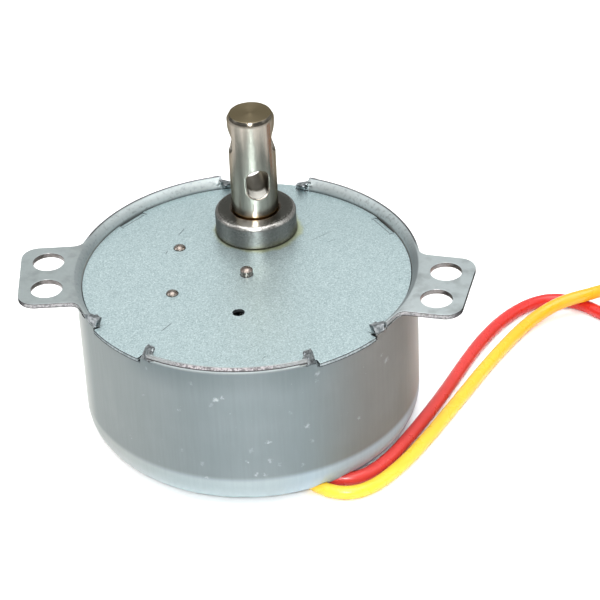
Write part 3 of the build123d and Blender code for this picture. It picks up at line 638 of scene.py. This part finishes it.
def canSteel(spec):
    finish, tree, shader = newFinish("satinCanSteel", metallic=1.0)
    brushed(shader, spec["brush"], spec["edgeTint"])
    across, depth, height = (axisOf(tree, axis) for axis in "XYZ")
    colour = wallColour(tree, spec, across, depth, height)
    colour = cornerOver(tree, spec, colour, across, height)
    colour = rimOver(tree, spec, colour, across, depth, height)
    drawn = speckle(tree, spec["drawLines"])  # faint upright lines
    colour = blend(tree, ramp(tree, drawn, spec["drawRange"], spec["drawShares"]), colour, spec["drawColour"])
    colour = blend(tree, grainMask(tree, spec["cloud"]), colour, spec["cloudColour"])
    marks = [(onWall(spec, bearing, z), size, strength) for bearing, z, size, strength in spec["scuffs"]]
    colour = blend(tree, spotsAt(tree, marks, spec["scuffEdge"]), colour, spec["scuff"])
    dust = times(tree, grainMask(tree, spec["dust"]), grainMask(tree, spec["dustPatches"]))
    colour = blend(tree, times(tree, dust, spec["dustShare"]), colour, spec["scuff"])
    rough = ramp(tree, drawn, spec["roughRange"], around(spec["roughness"], spec["roughSwing"]))
    finishWith(tree, shader, colour, rough)
    roughen(tree, shader, drawn, spec["drawBump"])
    return finish


# sheared edges: a torn light strip between two dark lines, along the thickness of the sheet
tornSpec = {
    "detail": 3,
    "range": (0.38, 0.62),
    "lineShares": (1.0, 0.4),  # of the line's width, from where it starts to where it is full
    "roughRange": (0.3, 0.7),
    "roughness": (0.55, 0.38),
    "bump": {"strength": 0.25, "depth": 0.05},
}


def shearedSteel(name, spec):
    finish, tree, shader = newFinish(name, metallic=1.0)
    shader.inputs["Specular Tint"].default_value = spec["line"]
    torn = speckle(tree, {"size": spec["grain"], "detail": tornSpec["detail"]})
    colour = blend(tree, ramp(tree, torn, tornSpec["range"]), spec["dark"], spec["light"])
    if "smooth" in spec:
        side = calc(tree, "ABSOLUTE", axisOf(tree, "X"))
        between = times(
            tree, fade(tree, side, spec["smoothFrom"], spec["smoothFromShares"]),
            fade(tree, side, spec["smoothTo"], spec["smoothToShares"]),
        )
        colour = blend(tree, between, colour, spec["smooth"])
        colour = blend(tree, fade(tree, side, spec["earEnd"], spec["earEndShares"]), colour, spec["line"])
    height = axisOf(tree, "Z")
    widths = [spec["lineWidth"] * share for share in tornSpec["lineShares"]]
    above = fade(tree, height, [-width for width in widths], base=spec["high"])
    below = fade(tree, height, widths, base=spec["low"])
    colour = blend(tree, calc(tree, "MAXIMUM", above, below), colour, spec["line"])
    finishWith(tree, shader, colour, ramp(tree, torn, tornSpec["roughRange"], tornSpec["roughness"]))
    roughen(tree, shader, torn, tornSpec["bump"])
    return finish


# plain finishes: two colours in a grain
grainSpec = {
    "detail": 3,
    "range": (0.3, 0.7),
    "roughRange": (0.25, 0.75),
    "roughSwing": 0.05,
    "bump": 0.1,
    "bumpDepth": 0.02,
}


def grainyFinish(name, spec):
    finish, tree, shader = newFinish(name, metallic=spec.get("metallic", 0.0))
    stretch = spec.get("stretch", (1, 1, 1))
    grain = speckle(tree, {"size": spec["grain"], "detail": grainSpec["detail"], "stretch": stretch})
    colour = blend(tree, ramp(tree, grain, grainSpec["range"]), spec["colour"], spec["other"])
    rough = ramp(tree, grain, grainSpec["roughRange"], around(spec["roughness"], grainSpec["roughSwing"]))
    finishWith(tree, shader, colour, rough)
    bump = {"strength": spec.get("bump", grainSpec["bump"]), "depth": grainSpec["bumpDepth"]}
    roughen(tree, shader, grain, bump)
    return finish


def earHoles(spec):
    for bearing in spec["earBearings"]:
        turn = math.radians(bearing)
        out = Vector((math.cos(turn), math.sin(turn)))
        along = Vector((-math.sin(turn), math.cos(turn)))
        for side in (-0.5, 0.5):
            yield out * spec["holeReach"] + along * spec["holePitch"] * side


def isShearedLip(place, normal):
    isUpright = abs(normal.z) < canSpec["lipUpright"]
    isOutside = place.xy.length > canSpec["lipRadius"] + canSpec["lipMargin"]
    return place.z > canSpec["sheetLow"] and isUpright and isOutside


def isHoleWall(place, normal):
    near = min((place.xy - hole).length for hole in earHoles(canSpec))
    isUpright = abs(normal.z) < canSpec["holeUpright"]
    isNear = near < canSpec["holeRadius"] + canSpec["holeMargin"]
    return place.z > canSpec["sheetLow"] and isUpright and isNear


def offGap(place):
    # degrees from the middle of the nearest gap in the rim
    bearing = math.degrees(math.atan2(place.y, place.x))
    return min(abs((bearing - gap + 180) % 360 - 180) for gap in canSpec["gapBearings"])


def isBentEnd(place, normal):
    return place.z > canSpec["rimLow"] and canSpec["bentFrom"] < offGap(place) < canSpec["bentTo"]


def isAtGapEnd(place):
    first = canSpec["bentFrom"] - canSpec["sparedBefore"]
    last = canSpec["bentTo"] + canSpec["sparedPast"]
    return place.z > canSpec["rimLow"] - canSpec["sparedBelow"] and first < offGap(place) < last


can = roundedCopy("can", "canShell", "motor_body", canSpec["rounding"], isAtGapEnd)
can.data.materials.append(canSteel(canSpec))
dressFaces(can, isShearedLip, shearedSteel("shearedSteel", canSpec["sheared"]))
dressFaces(can, isHoleWall, grainyFinish("punchedWall", canSpec["holeWall"]))
# the bent rim ends get a dark finish that is partly painted shade
dressFaces(can, isBentEnd, grainyFinish("bentRimSteel", canSpec["bent"]))
print("can finished,", len(can.data.polygons), "faces")


# cover: zinc coated sheet with a fine spangle, a few short scratches, an oil stain beside the collar, a
# painted contact shadow mixed with oil where the collar meets it, and darker towards the back
coverSpec = {
    "rounding": {"width": 0.07, "segments": 2, "sharperThan": 40},
    "pale": (0.45, 0.552, 0.562, 1),
    "dark": (0.395, 0.495, 0.51, 1),
    "bright": (0.62, 0.72, 0.73, 1),
    "pit": (0.26, 0.34, 0.355, 1),
    "scratch": (0.12, 0.14, 0.15, 1),
    "scratchShare": 0.85,
    "stain": (0.40, 0.42, 0.16, 1),
    "stainShare": 0.6,
    # painted contact shadow mixed with oil at the collar's foot
    "contactShadeAndOil": (0.07, 0.07, 0.05, 1),
    "contactShare": 0.8,
    "contactFade": (0.3, 0.05),
    "sheared": {
        "light": (0.36, 0.40, 0.41, 1), "dark": (0.24, 0.27, 0.28, 1), "line": (0.06, 0.066, 0.07, 1),
        "grain": 0.35, "low": 23.3, "high": 24.0, "lineWidth": 0.26,
    },
    "upright": 0.9,  # a face is upright where its normal rises less than this
    "metallic": 0.85,
    "roughness": 0.42,
    "roughSwing": 0.06,
    "roughRange": (0.2, 1.0),
    "spangle": 0.3,
    "spangleShare": 0.45,
    "grain": {"size": 0.2, "detail": 3},
    "grainShare": 0.6,
    "grainBump": {"strength": 0.1, "depth": 0.02},
    "patchRange": (0.2, 0.9),
    "fine": {"size": 0.21, "detail": 2},
    "fineShares": (0.0, 0.7),
    "brightRange": (0.53, 0.68),
    "pitRange": (0.47, 0.32),
    "backFade": (2, 20),  # darker towards the back, in the pit colour
    "backShares": (0.0, 0.2),
    "axis": (0.0, 12.5),  # of the collar
    "collarRadius": 6.08,
    "stainReach": 0.9,
    "stainInset": 0.6,
    "stainShift": (0.35, -0.15),
    "stainWaves": {"size": 2.5, "detail": 2},
    "stainWander": 1.2,
    "scratches": [
        {"x": -11.2, "y": 10.8, "turn": 70, "length": 2.2, "width": 0.15},
        {"x": -9.8, "y": -13.9, "turn": 60, "length": 2.6, "width": 0.15},
        {"x": 10.0, "y": 10.7, "turn": 42, "length": 4.4, "width": 0.07},
        {"x": 11.6, "y": 9.4, "turn": 38, "length": 1.6, "width": 0.06},
        {"x": 4.9, "y": -20.6, "turn": 60, "length": 0.8, "width": 0.12},
        {"x": -12.6, "y": 5.2, "turn": 80, "length": 0.9, "width": 0.14},
        {"x": 18.77, "y": 13.64, "turn": 126, "length": 5.6, "width": 0.16},
        {"x": -18.77, "y": 13.64, "turn": 54, "length": 5.6, "width": 0.16},
        {"x": 17.45, "y": 15.7, "turn": 36, "length": 0.9, "width": 0.2},
        {"x": 20.35, "y": 11.7, "turn": 36, "length": 0.9, "width": 0.2},
        {"x": -17.45, "y": 15.7, "turn": 144, "length": 0.9, "width": 0.2},
        {"x": -20.35, "y": 11.7, "turn": 144, "length": 0.9, "width": 0.2},
    ],
}


def stainOver(tree, spec, colour):
    # a wavy oil stain round the collar, and a dark line where the two meet: painted contact shadow mixed with
    # oil
    x, y = spec["axis"]
    dx, dy = spec["stainShift"]
    wavy = times(tree, speckle(tree, spec["stainWaves"]), -spec["stainWander"] * mm)
    reach = calc(tree, "ADD", radiusFrom(tree, ((x + dx) * mm, (y + dy) * mm, 0)), wavy)
    stain = fade(tree, reach, (spec["stainReach"], 0.0), base=spec["collarRadius"] - spec["stainInset"])
    colour = blend(tree, times(tree, stain, spec["stainShare"]), colour, spec["stain"])
    # painted contact shadow, mixed with oil, where the collar meets the plate
    close = fade(tree, radiusFrom(tree, axisPlace(spec)), spec["contactFade"], base=spec["collarRadius"])
    return blend(tree, times(tree, close, spec["contactShare"]), colour, spec["contactShadeAndOil"])


def coverZinc(name, spec):
    finish, tree, shader = newFinish(name, metallic=spec["metallic"])
    cells = addNode(tree, "TexVoronoi", {"Vector": placeOn(tree), "Scale": 1 / (spec["spangle"] * mm)})
    shade = addNode(tree, "SeparateXYZ", {"Vector": cells.outputs["Color"]}).outputs["X"]
    grain = speckle(tree, spec["grain"])
    shade = times(tree, shade, spec["spangleShare"])
    patchy = calc(tree, "ADD", shade, times(tree, grain, spec["grainShare"]))
    colour = blend(tree, ramp(tree, patchy, spec["patchRange"]), spec["dark"], spec["pale"])
    fine = speckle(tree, spec["fine"])
    colour = blend(tree, ramp(tree, fine, spec["brightRange"], spec["fineShares"]), colour, spec["bright"])
    colour = blend(tree, ramp(tree, fine, spec["pitRange"], spec["fineShares"]), colour, spec["pit"])
    toBack = fade(tree, axisOf(tree, "Y"), spec["backFade"], spec["backShares"])
    colour = blend(tree, toBack, colour, spec["pit"])
    for mark in spec["scratches"]:
        share = times(tree, scratchMark(tree, mark), spec["scratchShare"])
        colour = blend(tree, share, colour, spec["scratch"])
    colour = stainOver(tree, spec, colour)
    rough = ramp(tree, patchy, spec["roughRange"], around(spec["roughness"], spec["roughSwing"]))
    finishWith(tree, shader, colour, rough)
    roughen(tree, shader, grain, spec["grainBump"])
    return finish


def isCoverEdge(place, normal):
    return abs(normal.z) < coverSpec["upright"]


cover = roundedCopy("cover_plate", "coverSheet", "motor_body", coverSpec["rounding"])
cover.data.materials.append(coverZinc("spangledZinc", coverSpec))
dressFaces(cover, isCoverEdge, shearedSteel("shearedZinc", coverSpec["sheared"]))
print("cover finished")


# collar: turned, oiled iron with a bright edge at the front that is partly wear and partly painted glint, a
# painted sheen in the middle of the front, a top face darkened as painted shade, and oil lit at the front and
# shaded at the sides as painted light and shade
collarSpec = {
    "rounding": {"width": 0.24, "segments": 3, "sharperThan": 30},
    "iron": (0.185, 0.178, 0.168, 1),
    "pale": (0.265, 0.255, 0.245, 1),
    # worn and painted glint: the bright edge, shown only at the front
    "wornAndGlint": (0.52, 0.51, 0.48, 1),
    # painted shade: the top face is darker than the wall
    "topFaceShaded": (0.08, 0.079, 0.07, 1),
    # the oil is dark at the sides as painted shade and lighter at the front as painted light
    "oil": (0.05, 0.04, 0.03, 1),
    "oilLitFront": (0.26, 0.165, 0.075, 1),
    "oilShare": 0.95,
    "oilDulls": 0.8,
    "oilFades": {"out": (0.4, 0.2), "down": (-1.0, -0.5), "front": (-2.4, -3.4)},
    "axis": (0.0, 12.5),
    "top": 27.7,
    "topFade": (-0.06, -0.01),
    "bore": 3.55,
    "boreMargin": 1.0,
    "chamfer": 0.4,
    "chamferFade": (-0.1, 0.0),
    "radius": 6.08,
    "mottle": {"size": 0.35, "detail": 4},
    "paleRange": (0.3, 0.7),
    "paleShares": (0.0, 0.5),
    "turning": {"size": 0.12, "detail": 2, "stretch": (12, 12, 1)},
    "roughRange": (0.25, 0.75),
    "roughness": (0.26, 0.38),
    "bump": {"strength": 0.1, "depth": 0.02},
    "wear": {
        "edgeRange": (0.35, 0.6), "edgeShares": (0.2, 0.9), "rim": (-1.5, -0.5), "rimRange": (0.42, 0.6),
        "rimShares": (0.0, 0.8), "across": (-3.8, -1.4), "acrossShares": (0.45, 1.0), "sheenAcross": (3.2, 0.8),
        "sheenShares": (0.0, 0.9), "front": (-1.0, -4.6), "frontShares": (0.12, 1.0),
    },
    "edgeTint": (0.5, 0.5, 0.5, 1),
    "brush": 0.7,
}


def collarWearAndGlint(tree, spec, out, height, mottle, onTop):
    # bright on the chamfer and the rim, partly wear and partly painted glint, and a painted sheen in the
    # middle of the front; all of it only at the front
    wear = spec["wear"]
    onChamfer = times(
        tree, fade(tree, out, spec["chamferFade"], base=spec["radius"] - spec["chamfer"]),
        fade(tree, height, spec["chamferFade"], base=spec["top"] - spec["chamfer"]),
    )
    onChamfer = times(tree, onChamfer, ramp(tree, mottle, wear["edgeRange"], wear["edgeShares"]))
    onRim = fade(tree, out, wear["rim"], base=spec["radius"])
    onRim = times(tree, onRim, ramp(tree, mottle, wear["rimRange"], wear["rimShares"]))
    onRim = times(tree, onRim, onTop)
    across = axisOf(tree, "X")
    wornAndGlint = calc(tree, "MAXIMUM", onChamfer, onRim)
    wornAndGlint = times(tree, wornAndGlint, fade(tree, across, wear["across"], wear["acrossShares"]))
    paintedSheen = fade(tree, calc(tree, "ABSOLUTE", across), wear["sheenAcross"], wear["sheenShares"])
    wornAndGlint = calc(tree, "MAXIMUM", wornAndGlint, times(tree, onTop, paintedSheen))
    atFront = fade(tree, axisOf(tree, "Y"), wear["front"], wear["frontShares"], spec["axis"][1])
    return times(tree, wornAndGlint, atFront)


def oiledIron(spec):
    finish, tree, shader = newFinish("oiledIron", metallic=1.0)
    brushed(shader, spec["brush"], spec["edgeTint"])
    out = radiusFrom(tree, axisPlace(spec))
    height = axisOf(tree, "Z")
    mottle = speckle(tree, spec["mottle"])
    palePatches = ramp(tree, mottle, spec["paleRange"], spec["paleShares"])
    colour = blend(tree, palePatches, spec["iron"], spec["pale"])
    onTop = fade(tree, height, spec["topFade"], base=spec["top"])
    # painted shade on the top face
    colour = blend(tree, onTop, colour, spec["topFaceShaded"])
    colour = blend(tree, collarWearAndGlint(tree, spec, out, height, mottle, onTop), colour, spec["wornAndGlint"])
    fades = spec["oilFades"]
    oily = times(
        tree, fade(tree, out, fades["out"], base=spec["bore"]),
        fade(tree, height, fades["down"], base=spec["top"]),
    )
    # painted light and shade: the oil is lighter at the front and dark at the sides
    inFront = fade(tree, axisOf(tree, "Y"), fades["front"], base=spec["axis"][1])
    oil = blend(tree, inFront, spec["oil"], spec["oilLitFront"])
    colour = blend(tree, times(tree, oily, spec["oilShare"]), colour, oil)
    dullWhere(tree, shader, oily, spec["oilDulls"])
    turning = speckle(tree, spec["turning"])
    finishWith(tree, shader, colour, ramp(tree, turning, spec["roughRange"], spec["roughness"]))
    roughen(tree, shader, turning, spec["bump"])
    return finish


def isAtBore(place):
    away = (place.xy - Vector(collarSpec["axis"])).length
    return away < collarSpec["bore"] + collarSpec["boreMargin"]


collar = roundedCopy(
    "output_bushing", "collarBushing", "motor_body", collarSpec["rounding"], isAtBore
)
collar.data.materials.append(oiledIron(collarSpec))
print("collar finished")


# shaft: bright nickel plate over the ground wall, made lighter towards its foot by painted reflection, a
# duller end face, painted shade in the slots and beside the high slot, and a painted highlight on the low
# slot's floor
shaftSpec = {
    "rounding": {"width": 0.08, "segments": 3, "sharperThan": 30},
    "nickel": (0.40, 0.365, 0.315, 1),
    # painted reflection: the wall is lighter towards its foot
    "litFoot": (0.50, 0.465, 0.405, 1),
    "footFade": (37, 32),
    "tarnishAndShade": (0.18, 0.16, 0.135, 1),
    "specks": {"size": 0.16, "detail": 2, "range": (0.62, 0.72), "shares": (0.0, 0.35)},
    "streaks": {"size": 0.9, "detail": 4, "stretch": (1, 1, 7), "range": (0.42, 0.68)},  # upright
    "streakShare": 0.4,
    "endFace": (0.187, 0.155, 0.100, 1),
    "endFade": (-0.06, -0.02),
    "turned": (0.14, 0.125, 0.10, 1),
    "rings": {"size": 0.13, "detail": 1, "stretch": (40, 40, 1), "range": (0.4, 0.6), "shares": (0.55, 1.0)},
    "chamferLow": 43.3,
    "chamferFade": (-0.05, 0.05),
    "oil": (0.42, 0.27, 0.10, 1),
    "oilTop": 28.5,
    "oilFade": (0.0, -0.6),
    "oilShares": (0.0, 0.8),
    "highSlotBearing": 8.5,  # degrees
    # painted shade beside the high slot, in the tarnish colour
    "besideSlot": 2.9,  # from the high slot's middle plane
    "besideFade": (0.4, -0.5),
    "besideAcross": (-2, 2),
    "besideShares": (0.5, 0.95),
    # painted shade inside the slots
    "slotDark": (0.17, 0.16, 0.14, 1),
    "slotFades": {"in": (-0.12, -0.35), "belowTop": (-0.9, -1.2), "aboveOil": (0.6, 1.2)},
    "shadeFades": {"aboveFloor": (0.5, 1.1), "behind": (-1.6, -0.6)},
    "slotFloorGlint": (0.80, 0.78, 0.72, 1),  # a painted highlight at the front of the low slot's floor
    "floorGlintFades": {"aboveFloor": (0.9, 0.5), "front": (-0.9, -1.4)},
    "floorGlintDulls": 0.8,
    "lowSlotFloor": 31.15,
    "axis": (0.0, 12.5),
    "radius": 3.5,
    "top": 44.05,
    "grinding": {"size": 0.1, "detail": 2, "stretch": (8, 8, 1)},
    "roughRange": (0.2, 0.8),
    "roughness": (0.16, 0.25),
    "shadeRoughens": 0.15,
    "bump": {"strength": 0.05, "depth": 0.01},
    "edgeTint": (0.38, 0.36, 0.32, 1),
    "brush": 0.6,
}


def shaftWall(tree, spec, height):
    # painted reflection: lighter towards the foot
    nickel = blend(tree, fade(tree, height, spec["footFade"]), spec["nickel"], spec["litFoot"])
    nickel = blend(tree, grainMask(tree, spec["specks"]), nickel, spec["tarnishAndShade"])
    streaks = times(tree, grainMask(tree, spec["streaks"]), spec["streakShare"])
    colour = blend(tree, streaks, nickel, spec["tarnishAndShade"])
    # painted shade beside the high slot
    turn = (0, 0, math.radians(spec["highSlotBearing"]))
    aside = calc(tree, "ABSOLUTE", axisOf(tree, "Y", axisPlace(spec), turn))
    slotShade = fade(tree, aside, spec["besideFade"], base=spec["besideSlot"])
    slotShade = times(tree, slotShade, fade(tree, axisOf(tree, "X"), spec["besideAcross"], spec["besideShares"]))
    colour = blend(tree, slotShade, colour, spec["tarnishAndShade"])
    oily = fade(tree, height, spec["oilFade"], spec["oilShares"], spec["oilTop"])
    return blend(tree, oily, colour, spec["oil"])


def slotMasks(tree, spec, height):
    # the painted shade on the slots' walls, and the painted highlight on the low slot's floor
    slot, shade, floorGlint = spec["slotFades"], spec["shadeFades"], spec["floorGlintFades"]
    depth = axisOf(tree, "Y")
    inSlot = times(
        tree, fade(tree, radiusFrom(tree, axisPlace(spec)), slot["in"], base=spec["radius"]),
        fade(tree, height, slot["belowTop"], base=spec["top"]),
    )
    inSlot = times(tree, inSlot, fade(tree, height, slot["aboveOil"], base=spec["oilTop"]))
    aboveFloor = fade(tree, height, shade["aboveFloor"], base=spec["lowSlotFloor"])
    behind = fade(tree, depth, shade["behind"], base=spec["axis"][1])
    inShade = times(tree, inSlot, calc(tree, "MAXIMUM", aboveFloor, behind))
    bright = times(tree, inSlot, fade(tree, height, floorGlint["aboveFloor"], base=spec["lowSlotFloor"]))
    bright = times(tree, bright, fade(tree, depth, floorGlint["front"], base=spec["axis"][1]))
    return inShade, bright


def brightNickel(spec):
    finish, tree, shader = newFinish("brightNickel", metallic=1.0)
    brushed(shader, spec["brush"], spec["edgeTint"])
    height = axisOf(tree, "Z")
    colour = shaftWall(tree, spec, height)
    onChamfer = fade(tree, height, spec["chamferFade"], base=spec["chamferLow"])
    colour = blend(tree, times(tree, onChamfer, grainMask(tree, spec["rings"])), colour, spec["turned"])
    onEnd = fade(tree, height, spec["endFade"], base=spec["top"])
    colour = blend(tree, onEnd, colour, spec["endFace"])
    inShade, floorGlint = slotMasks(tree, spec, height)
    # painted shade in the slots, then a painted highlight on the low slot's floor
    colour = blend(tree, inShade, colour, spec["slotDark"])
    colour = blend(tree, floorGlint, colour, spec["slotFloorGlint"])
    dullWhere(tree, shader, floorGlint, spec["floorGlintDulls"])
    grinding = speckle(tree, spec["grinding"])
    rough = ramp(tree, grinding, spec["roughRange"], spec["roughness"])
    dull = times(tree, calc(tree, "MAXIMUM", onEnd, inShade), spec["shadeRoughens"])
    finishWith(tree, shader, colour, calc(tree, "ADD", rough, dull))
    roughen(tree, shader, grinding, spec["bump"])
    return finish


shaft = roundedCopy("output_shaft", "outputShaft", "output", shaftSpec["rounding"])
shaft.data.materials.append(brightNickel(shaftSpec))
print("shaft finished")


# the rest of the solids keep their shapes and get their own finishes
plainSpecs = {
    "pinSteel": {
        "colour": (0.27, 0.235, 0.21, 1), "other": (0.15, 0.125, 0.11, 1), "metallic": 1.0,
        "roughness": 0.28, "grain": 0.4,
    },
    "poleSteel": {
        "colour": (0.42, 0.42, 0.42, 1), "other": (0.34, 0.34, 0.35, 1), "metallic": 1.0,
        "roughness": 0.4, "grain": 0.5,
    },
    "nylonBobbin": {
        "colour": (0.72, 0.70, 0.62, 1), "other": (0.66, 0.64, 0.56, 1), "roughness": 0.5, "grain": 1.2,
    },
    "enamelledCopper": {
        "colour": (0.55, 0.22, 0.08, 1), "other": (0.38, 0.13, 0.05, 1), "metallic": 1.0,
        "roughness": 0.3, "grain": 0.12, "stretch": (30, 30, 1), "bump": 0.5,
    },
    "yellowTape": {
        "colour": (0.72, 0.52, 0.06, 1), "other": (0.66, 0.46, 0.05, 1), "roughness": 0.25, "grain": 2.0,
    },
    "darkFibre": {
        "colour": (0.03, 0.03, 0.032, 1), "other": (0.05, 0.05, 0.05, 1), "roughness": 0.6, "grain": 0.2,
    },
    "greyFerrite": {
        "colour": (0.035, 0.035, 0.038, 1), "other": (0.055, 0.055, 0.06, 1), "roughness": 0.55, "grain": 0.3,
    },
    "whiteAcetal": {
        "colour": (0.78, 0.78, 0.74, 1), "other": (0.72, 0.72, 0.68, 1), "roughness": 0.38, "grain": 1.5,
    },
    "sinteredIron": {
        "colour": (0.20, 0.195, 0.19, 1), "other": (0.13, 0.125, 0.12, 1), "metallic": 1.0,
        "roughness": 0.45, "grain": 0.2, "bump": 0.3,
    },
    "blackNylon": {
        "colour": (0.015, 0.015, 0.016, 1), "other": (0.025, 0.025, 0.026, 1),
        "roughness": 0.45, "grain": 0.5,
    },
    "tinnedStrand": {
        "colour": (0.55, 0.54, 0.52, 1), "other": (0.32, 0.31, 0.30, 1), "metallic": 1.0,
        "roughness": 0.3, "grain": 0.25, "bump": 0.6,
    },
}
slotFinishes = {
    "pin_steel": "pinSteel", "pole_steel": "poleSteel", "bobbin_plastic": "nylonBobbin",
    "winding_copper": "enamelledCopper", "tape_film": "yellowTape", "washer_plastic": "darkFibre",
    "magnet_ferrite": "greyFerrite", "gear_plastic": "whiteAcetal", "gear_iron": "sinteredIron",
    "bush_plastic": "blackNylon", "tinned_wire": "tinnedStrand", "tie_plastic": "blackNylon",
}


def dressSolids():
    finishes = {name: grainyFinish(name, spec) for name, spec in plainSpecs.items()}
    finishes["innerZinc"] = coverZinc("innerZinc", {**coverSpec, "scratches": []})
    for part in frame["record"]["subparts"]:
        finishName = slotFinishes.get(part["material_slot"])
        if part["node"] == "gear_plate":
            finishName = "innerZinc"
        if finishName is None:
            continue  # a piece above replaces this solid
        node = nodes[part["node"]]
        node.data.materials.clear()
        node.data.materials.append(finishes[finishName])


dressSolids()
print("solids dressed")
